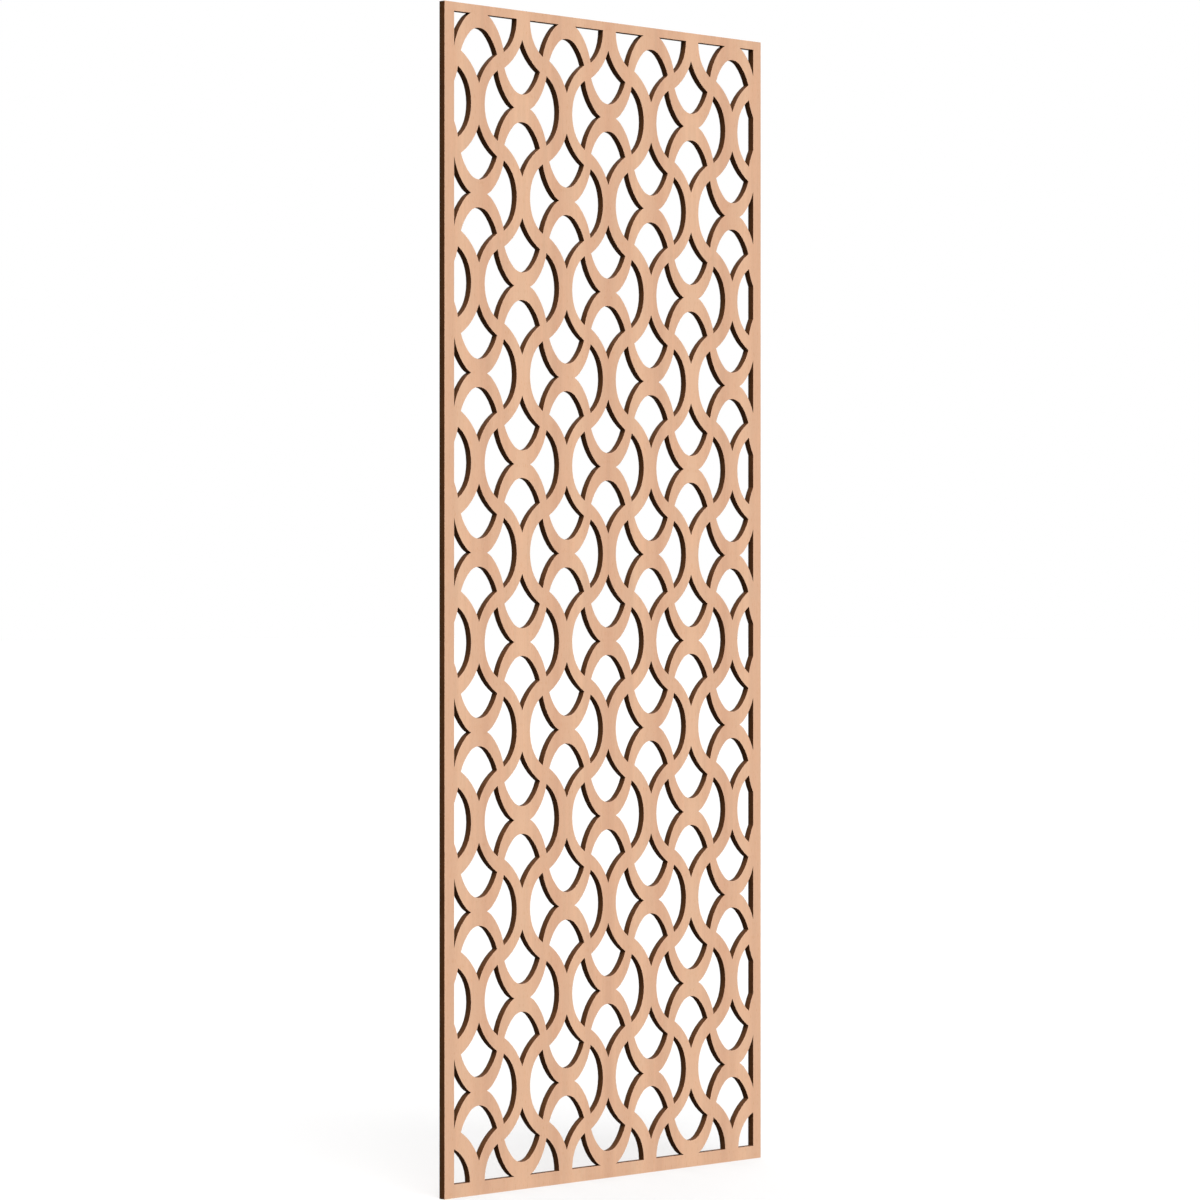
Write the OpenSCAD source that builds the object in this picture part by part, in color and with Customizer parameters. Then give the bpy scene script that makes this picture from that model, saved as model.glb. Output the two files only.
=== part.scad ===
// Fretwork wood panel: a veneered plywood sheet, cut right through with a lattice of rings and arches.
// Millimetres. X runs across the panel, Y from the front face to the back, Z up.
// The origin is the middle of the bottom edge, half way through the thickness.
// The sheet is five bonded layers. Both faces are laid from four leaves of veneer,
// matched like the pages of a book from the middle joint outwards.

/* [Panel] */
// Width of the panel
panel_w = 593.7; // [500:0.1:900]
// Height of the panel
panel_h = 1533.5; // [900:0.1:2400]

/* [Layers] */
// Thickness of the face veneer, front and back
veneer_t = 0.6; // [0.4:0.05:1.5]
// Thickness of each of the two crossband plies
crossband_t = 2.8; // [1.5:0.05:4]
// Thickness of the core ply
core_t = 2.725; // [1.5:0.005:6]

/* [Border] */
// Width of the plain border on the left
stile_left_w = 16.8; // [8:0.1:30]
// Width of the plain border on the right
stile_right_w = 15; // [8:0.1:30]
// Height of the plain border along the top
rail_top_h = 11.4; // [8:0.1:30]
// Height of the plain border along the bottom
rail_bottom_h = 17.6; // [8:0.1:30]

/* [Lattice] */
// Distance between two ring columns
col_pitch = 158.7; // [152:0.1:170]
// Height from one row of rings to the next one in the same column
row_pitch = 231.5; // [222:0.1:250]
// Sideways step of every second row, from the row that is centred on the panel
row_stagger = 81.4; // [76:0.1:84]
// How far the first row of nodes lies above the lower edge of the top border
first_row_rise = 0.2; // [0.1:0.1:6]

/* [Rings] */
// Radius of a ring's inner edge at its side
ring_r = 63.2; // [58:0.1:67]
// Radius of a ring's inner edge at its ends
ring_end_r = 50; // [44:0.1:56]
// Angle from level at which the side's curve becomes the end's curve
ring_end_angle = 17; // [10:0.1:26]
// Wood between two rings side by side
ring_gap_w = 24; // [14:0.1:32]
// Width of the strand that runs round a ring, at its side
ring_strand_w = 16.7; // [13:0.1:22]
// Radius of a ring's outer edge
ring_outer_r = 77.3; // [73:0.1:82]

/* [Arches] */
// Width of the wood left at a node, where two arches meet back to back
node_waist_w = 28.5; // [22:0.1:36]
// Radius of an arch's outer edge at its crown
outer_crown_r = 33.9; // [31:0.1:37]
// Radius of an arch's outer edge at its sides
outer_side_r = 77; // [72:0.1:84]
// Angle from upright at which the outer crown's curve becomes the side's curve
outer_crown_angle = 46.7; // [44:0.1:49]
// Wood between the crowns of two arches back to back
crown_gap_h = 36; // [26:0.1:46]
// Radius of an arch's inner edge at its crown
crown_r = 23.4; // [18:0.1:26]
// Radius of an arch's inner edge at its sides
arch_side_r = 62.8; // [56:0.1:72]
// Angle from upright at which the inner crown's curve becomes the side's curve
crown_angle = 44; // [38:0.1:50]

/* [Bottom corners] */
// Radius of the round opening in each bottom corner
corner_r = 50.7; // [46:0.1:56]
// Wood between a bottom corner's opening and the ring beside it
corner_gap_w = 26; // [20:0.1:32]

/* [Veneer leaves] */
// Width of each of the two full leaves beside the middle joint
leaf_w = 160.3; // [120:0.1:200]

/* [Hidden] */
curve_fn = 96;
// Where a tight curve runs on into a wide one, it stands this far past it,
// so that the two cross at one clean point
curve_overlap = 0.05;
panel_t = 2 * veneer_t + 2 * crossband_t + core_t;

// Faces of the layers, counted from the front face at -Y
front_y = -panel_t / 2;
crossband_front_y = front_y + veneer_t;
core_y = crossband_front_y + crossband_t;
crossband_back_y = core_y + core_t;
back_veneer_y = crossband_back_y + crossband_t;

// The field inside the border, where the lattice shows
panel_left = -panel_w / 2;
panel_right = panel_w / 2;
field_left = panel_left + stile_left_w;
field_right = panel_right - stile_right_w;
field_bottom = rail_bottom_h;
field_top = panel_h - rail_top_h;

// The nodes stand in rows half a pitch apart, and every second row is centred on the panel
half_row = row_pitch / 2;
first_row_z = field_top + first_row_rise;
last_row = ceil((first_row_z - field_bottom) / half_row);
last_col = ceil(panel_w / 2 / col_pitch) + 1;
bottom_row = round((first_row_z - field_bottom) / half_row);

// A ring's inner edge reaches this far from its node, and runs on from its side to its ends
ring_reach = (col_pitch - ring_gap_w) / 2;
ring_side_x = ring_reach - ring_r;
ring_side_end_z = ring_r * sin(ring_end_angle);
ring_end_offset = ring_r - ring_end_r + curve_overlap;
ring_end_x = ring_side_x + ring_end_offset * cos(ring_end_angle);
ring_end_z = ring_end_offset * sin(ring_end_angle);
ring_outer_x = ring_reach + ring_strand_w - ring_outer_r;

// In the bottom corners, a plain round opening stands this far inwards from its node
corner_inset = col_pitch - ring_reach - corner_gap_w - corner_r;

// Heights of the centres of the crowns' curves. Two arches' outer edges meet in a cusp beside the node
outer_crown_z = sqrt(outer_crown_r * outer_crown_r - node_waist_w * node_waist_w / 4);
crown_z = crown_gap_h / 2 + crown_r;

face_color = [0.886, 0.706, 0.576];
back_color = [0.86, 0.69, 0.56];
crossband_color = [0.33, 0.20, 0.12];
core_color = [0.28, 0.16, 0.09];

// The inside of a ring, to the right of its node
module ring_inside() {
    intersection() {
        translate([ring_side_x, 0])
            circle(r = ring_r, $fn = curve_fn);
        union() {
            translate([0, -ring_side_end_z])
                square([col_pitch, 2 * ring_side_end_z]);
            for (side = [-1, 1])
                translate([ring_end_x, side * ring_end_z])
                    circle(r = ring_end_r, $fn = curve_fn);
        }
    }
}

// All that lies inside an arch's edge, above its node. The crown's curve runs on into the sides' curves
module inside_arch(centre_z, crown_radius, side_radius, angle) {
    side_offset = side_radius - crown_radius + curve_overlap;
    side_x = side_offset * sin(angle);
    side_z = centre_z + side_offset * cos(angle);
    crown_end_z = centre_z - crown_radius * cos(angle);
    intersection() {
        translate([-side_x, side_z])
            circle(r = side_radius, $fn = curve_fn);
        translate([side_x, side_z])
            circle(r = side_radius, $fn = curve_fn);
        union() {
            translate([0, centre_z])
                circle(r = crown_radius, $fn = curve_fn);
            translate([-side_radius, crown_end_z])
                square([2 * side_radius, half_row - crown_end_z]);
        }
    }
}

// The opening between a ring and the two arches beside it, to the right of its node
module ring_opening() {
    difference() {
        ring_inside();
        for (up = [0, 1])
            mirror([0, up])
                inside_arch(outer_crown_z, outer_crown_r, outer_side_r, outer_crown_angle);
    }
}

// The opening inside an arch, which ends in a point where two rings come together
module arch_opening() {
    difference() {
        inside_arch(crown_z, crown_r, arch_side_r, crown_angle);
        for (side = [-1, 1])
            translate([side * (col_pitch / 2 - ring_outer_x), half_row])
                circle(r = ring_outer_r, $fn = curve_fn);
    }
}

// The four openings round one node
module node_openings() {
    ring_opening();
    mirror([1, 0])
        ring_opening();
    arch_opening();
    mirror([0, 1])
        arch_opening();
}

// The openings beside a node beyond the panel's side, in the row on the bottom border
module corner_openings() {
    for (side = [-1, 1])
        translate([side * corner_inset, 0])
            circle(r = corner_r, $fn = curve_fn);
}

// Every opening that reaches into the strip from x0 to x1, trimmed by the border
module openings(x0, x1) {
    intersection() {
        translate([field_left, field_bottom])
            square([field_right - field_left, field_top - field_bottom]);
        for (row = [0 : last_row])
            for (col = [-last_col : last_col]) {
                x = col * col_pitch + (row % 2 == 0 ? row_stagger : 0);
                if (x > x0 - ring_reach && x < x1 + ring_reach)
                    translate([x, first_row_z - row * half_row])
                        if (row == bottom_row && abs(x) > panel_w / 2)
                            corner_openings();
                        else
                            node_openings();
            }
    }
}

// A layer of the panel from x0 to x1, thick from y towards the back
module layer(x0, x1, y, thick) {
    translate([0, y + thick, 0])
        rotate([90, 0, 0])
            linear_extrude(thick)
                difference() {
                    translate([x0, 0])
                        square([x1 - x0, panel_h]);
                    openings(x0, x1);
                }
}

module front_veneer_outer_left() {
    color(face_color) layer(panel_left, -leaf_w, front_y, veneer_t);
}

module front_veneer_inner_left() {
    color(face_color) layer(-leaf_w, 0, front_y, veneer_t);
}

module front_veneer_inner_right() {
    color(face_color) layer(0, leaf_w, front_y, veneer_t);
}

module front_veneer_outer_right() {
    color(face_color) layer(leaf_w, panel_right, front_y, veneer_t);
}

module front_crossband_ply() {
    color(crossband_color) layer(panel_left, panel_right, crossband_front_y, crossband_t);
}

module core_ply() {
    color(core_color) layer(panel_left, panel_right, core_y, core_t);
}

module back_crossband_ply() {
    color(crossband_color) layer(panel_left, panel_right, crossband_back_y, crossband_t);
}

module back_veneer_outer_left() {
    color(back_color) layer(panel_left, -leaf_w, back_veneer_y, veneer_t);
}

module back_veneer_inner_left() {
    color(back_color) layer(-leaf_w, 0, back_veneer_y, veneer_t);
}

module back_veneer_inner_right() {
    color(back_color) layer(0, leaf_w, back_veneer_y, veneer_t);
}

module back_veneer_outer_right() {
    color(back_color) layer(leaf_w, panel_right, back_veneer_y, veneer_t);
}

front_veneer_outer_left();
front_veneer_inner_left();
front_veneer_inner_right();
front_veneer_outer_right();
front_crossband_ply();
core_ply();
back_crossband_ply();
back_veneer_outer_left();
back_veneer_inner_left();
back_veneer_inner_right();
back_veneer_outer_right();
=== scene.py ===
"""Looks of the fretwork wood panel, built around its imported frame.

Lengths are in metres, as in the frame. Colours are written as they show, in numbers up to 255, and tints
as factors.
"""
import math

import bpy
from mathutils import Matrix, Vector


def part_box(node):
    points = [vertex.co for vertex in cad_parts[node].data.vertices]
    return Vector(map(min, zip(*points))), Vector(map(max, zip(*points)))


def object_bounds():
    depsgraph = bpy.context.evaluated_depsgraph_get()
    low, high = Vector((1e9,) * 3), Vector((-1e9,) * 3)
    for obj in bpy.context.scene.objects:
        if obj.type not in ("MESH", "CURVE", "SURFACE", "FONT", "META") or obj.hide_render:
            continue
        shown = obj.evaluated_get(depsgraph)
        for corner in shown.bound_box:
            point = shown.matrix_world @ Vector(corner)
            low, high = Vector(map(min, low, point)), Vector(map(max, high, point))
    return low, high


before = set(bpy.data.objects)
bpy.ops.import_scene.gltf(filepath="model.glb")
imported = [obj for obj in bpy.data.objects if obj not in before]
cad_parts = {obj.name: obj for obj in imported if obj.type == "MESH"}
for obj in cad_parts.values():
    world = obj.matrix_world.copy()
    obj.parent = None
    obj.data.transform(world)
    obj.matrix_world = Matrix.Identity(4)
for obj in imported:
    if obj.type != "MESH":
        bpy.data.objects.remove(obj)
cad_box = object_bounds()

# The camera stands level, at half the panel's height, 45 degrees round to the left of the front face,
# and a little to its own left, so that the panel lies in the picture as in the photograph
CAMERA_AZIMUTH = math.radians(-45)
CAMERA_DISTANCE = 5.785
CAMERA_HEIGHT = cad_box[1].z / 2
CAMERA_ASIDE = 0.0077
LENS = 130.7
SENSOR = 36.0
FARTHEST_SEEN = 200

# Veneer: width of the full leaves beside the middle joint, how far apart in the flitch two leaves were cut,
# and how far behind the front's leaves the back's leaves lay in it
LEAF_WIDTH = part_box("front_veneer_inner_right")[1].x
LEAF_STEP = 0.0007
BACK_FLITCH = 0.35

# Upright bands in a leaf, from the middle joint outwards: share of the leaf's width, and how light the
# wood is there
FIGURE = (
    (0, 0), (0.09, 0.5), (0.23, 0.4),
    (0.34, 1), (0.5, 0.5), (0.61, 0),
    (0.7, 0.5), (0.8, 0.45), (0.97, 0.95),
)
DARK_WOOD = (219, 173, 142)
LIGHT_WOOD = (231, 187, 154)
RAW_WOOD = (222, 184, 142)

# Charred cut edges: the colour of each layer's wall
CHAR = {
    "front_veneer": (84, 48, 25),
    "front_crossband_ply": (86, 52, 28),
    "core_ply": (80, 51, 29),
    "back_crossband_ply": (75, 50, 31),
    "back_veneer": (68, 45, 28),
}

# How far a line of glue reaches into each of the two layers that it joins, and how much darker it is
GLUE_LINE = 0.00012
GLUE_DARKENING = 0.35

# Each noise: its waves per metre along X, Y and Z, how many finer layers it has, and how strong those are
WANDER = ((6, 1, 2.2), 1, 0.5)
STREAKS = ((130, 1, 1.6), 5, 0.62)
FIBRES = ((900, 1, 14), 3, 0.6)
CURL = ((16, 1, 60), 2, 0.5)
MOTTLE = ((34, 1, 16), 2, 0.5)
PORES = ((1700, 1, 110), 1, 0.5)
CROSSBAND_FIBRES = ((9, 1, 620), 3, 0.6)
CORE_FIBRES = ((620, 1, 9), 3, 0.6)
SOOT = ((38, 38, 38), 3, 0.5)
SCORING = ((900, 1, 900), 2, 0.5)
CHAR_FIBRES = ((260, 3200, 260), 2, 0.5)

# How far each noise swings the tone up and down, and how far the grain wanders sideways
STREAK_SWING = 0.10
FIBRE_SWING = 0.07
CURL_SWING = 0.025
PLY_SWING = 0.12
SOOT_SWING = 0.34
SCORING_SWING = 0.30
CHAR_FIBRE_SWING = 0.16
WANDER_REACH = 0.0045

# The mottle runs from a warmer tint to a cooler one. Pores are where their noise is above a level:
# they tint the wood brown and lie lower than it
WARM_TINT = (1.035, 0.985, 0.955, 1)
COOL_TINT = (0.97, 1.012, 1.035, 1)
PORE_TINT = (0.90, 0.80, 0.70)
PORE_LEVEL = 0.66
PORE_DEPTH = 0.6

# Finish: gloss, roughness where the height is 0, how much rougher it is where the height is 1, and relief
VENEER_GLOSS = 0.25
CHAR_GLOSS = 0.03
VENEER_ROUGHNESS = 0.46
PLY_ROUGHNESS = 0.6
FACE_ROUGHER = 0.12
CHAR_ROUGHNESS = 0.70
CHAR_ROUGHER = 0.15
BUMP_STRENGTH = 0.25
BUMP_DEPTH = 0.0002

# A face's normal has more than this along Y, and a wall's has less
FACE_NORMAL = 0.5

# The sun lamps' own place, which makes no difference to their light
LAMP_DISTANCE = 5
WHITE = (1, 1, 1, 1)


def linear(colour):
    """A colour as shown as the linear colour that a shader takes, by the sRGB curve."""
    shares = [c / 255 for c in colour]
    return [s / 12.92 if s <= 0.04045 else ((s + 0.055) / 1.055) ** 2.4 for s in shares] + [1.0]


def grey(level):
    """A linear grey, from 0 for black to 1 for white."""
    return level, level, level, 1


def empty_tree(owner):
    """The node tree of a material or of the world, cleared of its first nodes."""
    owner.use_nodes = True
    owner.node_tree.nodes.clear()
    return owner.node_tree


def node(tree, kind, inputs=(), **settings):
    """A new node with these settings. Each input is a value, or the output of another node."""
    made = tree.nodes.new(kind)
    for name, value in settings.items():
        setattr(made, name, value)
    for name, value in dict(inputs).items():
        if isinstance(value, bpy.types.NodeSocket):
            tree.links.new(value, made.inputs[name])
        else:
            made.inputs[name].default_value = value
    return made


def maths(tree, operation, *values):
    """The result of a Math node."""
    return node(tree, "ShaderNodeMath", enumerate(values), operation=operation).outputs[0]


def parts(tree, vector):
    """The X, Y and Z of a vector."""
    return node(tree, "ShaderNodeSeparateXYZ", {0: vector}).outputs


def combined(tree, *values):
    """The vector with this X, Y and Z."""
    return node(tree, "ShaderNodeCombineXYZ", enumerate(values)).outputs[0]


def scaled(tree, vector, scale):
    """A vector with each of its parts times a scale of its own."""
    inputs = {0: vector, 1: scale}
    return node(tree, "ShaderNodeVectorMath", inputs, operation="MULTIPLY").outputs[0]


def shaded(tree, colour, factor):
    """A colour made lighter or darker by a factor."""
    return node(tree, "ShaderNodeVectorMath", {0: colour, "Scale": factor}, operation="SCALE").outputs[0]


def mix(tree, factor, first, second):
    """First colour at factor 0, second colour at factor 1."""
    made = node(tree, "ShaderNodeMix", data_type="RGBA")
    for socket, value in ((made.inputs[0], factor), (made.inputs[6], first), (made.inputs[7], second)):
        if isinstance(value, bpy.types.NodeSocket):
            tree.links.new(value, socket)
        else:
            socket.default_value = value
    return made.outputs[2]


def either(tree, factor, first, second):
    """First number at factor 0, second number at factor 1."""
    change = maths(tree, "MULTIPLY", factor, maths(tree, "SUBTRACT", second, first))
    return maths(tree, "ADD", first, change)


def ramp(tree, value, stops):
    """A smooth curve through stops, each a place from 0 to 1 and the value there."""
    made = node(tree, "ShaderNodeValToRGB", {0: value})
    made.color_ramp.interpolation = "EASE"
    elements = made.color_ramp.elements
    while len(elements) < len(stops):
        elements.new(1.0)
    for element, (place, height) in zip(elements, stops):
        element.position = place
        element.color = grey(height)
    return made.outputs[0]


def noise(tree, vector, scale, detail, roughness):
    """Noise from 0 to 1, with about scale waves per metre along each axis."""
    inputs = {"Vector": scaled(tree, vector, scale), "Scale": 1.0, "Detail": detail, "Roughness": roughness}
    return node(tree, "ShaderNodeTexNoise", inputs).outputs["Fac"]


def swing(tree, value, amount):
    """A value from 0 to 1, turned into one that swings by amount about 0."""
    return maths(tree, "MULTIPLY_ADD", value, 2 * amount, -amount)


def tone(tree, *shades):
    """A factor that swings about 1. Each shade is a value from 0 to 1 and how far it swings the factor."""
    total, *others = [swing(tree, value, amount) for value, amount in shades]
    for other in others:
        total = maths(tree, "ADD", total, other)
    return maths(tree, "ADD", total, 1.0)


def material(name, gloss):
    """A new material with one shader, as (material, its node tree, the shader, the position in metres)."""
    made = bpy.data.materials.new(name)
    tree = empty_tree(made)
    shader = node(tree, "ShaderNodeBsdfPrincipled", {"Specular IOR Level": gloss})
    node(tree, "ShaderNodeOutputMaterial", {"Surface": shader.outputs[0]})
    position = node(tree, "ShaderNodeTexCoord").outputs["Object"]
    return made, tree, shader, position


def is_wall(tree):
    """1 on a cut wall, whose normal lies in the panel's plane, and 0 on a face."""
    normal = node(tree, "ShaderNodeNewGeometry").outputs["True Normal"]
    return maths(tree, "LESS_THAN", maths(tree, "ABSOLUTE", parts(tree, normal)[1]), FACE_NORMAL)


def glue_lines(tree, y, layer):
    """1 along both edges of a layer's wall, where the glue is, and 0 between them."""
    low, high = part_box(layer)
    near_low = maths(tree, "LESS_THAN", maths(tree, "SUBTRACT", y, low.y), GLUE_LINE)
    near_high = maths(tree, "LESS_THAN", maths(tree, "SUBTRACT", high.y, y), GLUE_LINE)
    return maths(tree, "MAXIMUM", near_low, near_high)


def char(tree, position, layer, colour):
    """Colour and height of a charred cut wall: soot in patches, fine scoring across it, dark glue lines."""
    x, y, z = parts(tree, position)
    soot = noise(tree, position, *SOOT)
    scoring = noise(tree, combined(tree, x, 0, z), *SCORING)
    fibres = noise(tree, position, *CHAR_FIBRES)
    factor = tone(tree, (soot, SOOT_SWING), (scoring, SCORING_SWING), (fibres, CHAR_FIBRE_SWING))
    line = maths(tree, "MULTIPLY", glue_lines(tree, y, layer), GLUE_DARKENING)
    factor = maths(tree, "MULTIPLY", factor, maths(tree, "SUBTRACT", 1.0, line))
    return shaded(tree, linear(colour)[:3], factor), scoring


def place_in_leaf(tree, position, depth):
    """How far across its leaf a point lies, and the point in the wood that the leaf was cut from.

    The leaves mirror each other at their joints, as in a book, and the grain wanders a little sideways.
    """
    x, _, z = parts(tree, position)
    across = maths(tree, "PINGPONG", x, LEAF_WIDTH)
    wander = noise(tree, combined(tree, across, depth, z), *WANDER)
    across = maths(tree, "ADD", across, swing(tree, wander, WANDER_REACH))
    return across, combined(tree, across, depth, z)


def veneer_face(tree, position, depth):
    """Colour and height of the face of a leaf that was cut at a depth in the flitch."""
    across, point = place_in_leaf(tree, position, depth)
    light = ramp(tree, maths(tree, "DIVIDE", across, LEAF_WIDTH), FIGURE)
    colour = mix(tree, light, linear(DARK_WOOD), linear(LIGHT_WOOD))
    colour = scaled(tree, colour, mix(tree, noise(tree, point, *MOTTLE), WARM_TINT, COOL_TINT))
    pore = maths(tree, "GREATER_THAN", noise(tree, point, *PORES), PORE_LEVEL)
    colour = mix(tree, pore, colour, scaled(tree, colour, PORE_TINT))
    streaks = noise(tree, point, *STREAKS)
    fibres = noise(tree, point, *FIBRES)
    curl = noise(tree, point, *CURL)
    factor = tone(tree, (streaks, STREAK_SWING), (fibres, FIBRE_SWING), (curl, CURL_SWING))
    height = maths(tree, "SUBTRACT", fibres, maths(tree, "MULTIPLY", pore, PORE_DEPTH))
    return shaded(tree, colour, factor), height


def ply_face(tree, position, grain):
    """Colour and height of a ply's own face, which the glue hides in the whole panel: raw pale wood."""
    fibres = noise(tree, position, *grain)
    return shaded(tree, linear(RAW_WOOD)[:3], tone(tree, (fibres, PLY_SWING))), fibres


def finish_layer(tree, shader, face, wall, face_roughness):
    """Joins a layer's face and its charred walls, each a colour and a height, in one shader."""
    mask = is_wall(tree)
    tree.links.new(mix(tree, mask, face[0], wall[0]), shader.inputs["Base Color"])
    face_rough = maths(tree, "MULTIPLY_ADD", face[1], FACE_ROUGHER, face_roughness)
    wall_rough = maths(tree, "MULTIPLY_ADD", wall[1], CHAR_ROUGHER, CHAR_ROUGHNESS)
    tree.links.new(either(tree, mask, face_rough, wall_rough), shader.inputs["Roughness"])
    height = either(tree, mask, face[1], wall[1])
    relief = {"Strength": BUMP_STRENGTH, "Distance": BUMP_DEPTH, "Height": height}
    bump = node(tree, "ShaderNodeBump", relief)
    tree.links.new(bump.outputs[0], shader.inputs["Normal"])


def dress(layer, made):
    """Puts a material on a layer of the frame."""
    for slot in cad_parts[layer].material_slots:
        slot.material = made


def veneer(layer, wall_colour, depth):
    """Dresses a leaf of veneer that was cut at a depth in the flitch."""
    made, tree, shader, position = material(layer, VENEER_GLOSS)
    face = veneer_face(tree, position, depth)
    finish_layer(tree, shader, face, char(tree, position, layer, wall_colour), VENEER_ROUGHNESS)
    dress(layer, made)


def ply(layer, grain):
    """Dresses a ply. Its grain runs along the axis on which the fibres have the fewest waves."""
    made, tree, shader, position = material(layer, CHAR_GLOSS)
    face = ply_face(tree, position, grain)
    finish_layer(tree, shader, face, char(tree, position, layer, CHAR[layer]), PLY_ROUGHNESS)
    dress(layer, made)


def add_object(name, data):
    """A new object in the scene."""
    made = bpy.data.objects.new(name, data)
    bpy.context.scene.collection.objects.link(made)
    return made


def add_sun(name, azimuth, elevation, strength, softness):
    """A soft, even light from far away. Azimuth 0 shines from the front, 90 from the right, in degrees."""
    data = bpy.data.lights.new(name, "SUN")
    data.energy = strength
    data.angle = math.radians(softness)
    sun = add_object(name, data)
    turn, rise = math.radians(azimuth), math.radians(elevation)
    source = Vector((math.sin(turn) * math.cos(rise), -math.cos(turn) * math.cos(rise), math.sin(rise)))
    sun.rotation_euler = source.to_track_quat("Z", "Y").to_euler()
    sun.location = source * LAMP_DISTANCE


def background_factor(tree):
    """1 for what the camera sees, also in a gloss or through glass, and 0 for what lights the object."""
    path = node(tree, "ShaderNodeLightPath").outputs
    seen = maths(tree, "MAXIMUM", path["Is Camera Ray"], path["Is Glossy Ray"])
    return maths(tree, "MAXIMUM", seen, path["Is Transmission Ray"])


def add_world(ambient):
    """An even studio light from all round, in front of a white background."""
    world = bpy.data.worlds.new("studio")
    bpy.context.scene.world = world
    tree = empty_tree(world)
    strength = maths(tree, "MULTIPLY_ADD", background_factor(tree), 1.0 - ambient, ambient)
    back = node(tree, "ShaderNodeBackground", {"Color": WHITE, "Strength": strength})
    node(tree, "ShaderNodeOutputWorld", {"Surface": back.outputs[0]})


def add_floor(size, tone_seen, bounce, glow):
    """A floor that looks white but for the object's faint shadow.

    The camera sees it in one tone, lit up by a share of glow, and what it sends back has another tone.
    """
    mesh = bpy.data.meshes.new("floor")
    corners = [(sx * size, sy * size, 0) for sx, sy in ((-1, -1), (1, -1), (1, 1), (-1, 1))]
    mesh.from_pydata(corners, [], [(0, 1, 2, 3)])
    made = bpy.data.materials.new("floor")
    tree = empty_tree(made)
    seen = background_factor(tree)
    shade = mix(tree, seen, grey(bounce), grey(tone_seen))
    pale = node(tree, "ShaderNodeBsdfDiffuse", {"Color": shade})
    white = node(tree, "ShaderNodeEmission", {"Color": WHITE, "Strength": 1.0})
    share = maths(tree, "MULTIPLY", seen, glow)
    both = node(tree, "ShaderNodeMixShader", {0: share, 1: pale.outputs[0], 2: white.outputs[0]})
    node(tree, "ShaderNodeOutputMaterial", {"Surface": both.outputs[0]})
    mesh.materials.append(made)
    add_object("floor", mesh)


def add_camera():
    """The photograph's camera: level, with upright lines upright."""
    data = bpy.data.cameras.new("camera")
    data.lens = LENS
    data.sensor_width = SENSOR
    data.clip_end = FARTHEST_SEEN
    camera = add_object("camera", data)
    back = Vector((math.sin(CAMERA_AZIMUTH), -math.cos(CAMERA_AZIMUTH), 0))
    aside = Vector((math.cos(CAMERA_AZIMUTH), math.sin(CAMERA_AZIMUTH), 0))
    camera.location = back * CAMERA_DISTANCE - aside * CAMERA_ASIDE + Vector((0, 0, CAMERA_HEIGHT))
    camera.rotation_euler = (math.pi / 2, 0, CAMERA_AZIMUTH)
    bpy.context.scene.camera = camera


add_camera()
bpy.context.scene.view_settings.view_transform = "Standard"
add_world(ambient=0.25)
add_sun("key_light", azimuth=-28, elevation=50, strength=4.1, softness=50)
add_sun("fill_light", azimuth=150, elevation=40, strength=3.0, softness=60)
add_floor(size=60, tone_seen=0.62, bounce=0.12, glow=0.5)

SIDES = ("outer_left", "inner_left", "inner_right", "outer_right")
for number, side in enumerate(SIDES):
    veneer("front_veneer_" + side, CHAR["front_veneer"], number * LEAF_STEP)
    veneer("back_veneer_" + side, CHAR["back_veneer"], BACK_FLITCH + number * LEAF_STEP)
ply("front_crossband_ply", CROSSBAND_FIBRES)
ply("core_ply", CORE_FIBRES)
ply("back_crossband_ply", CROSSBAND_FIBRES)
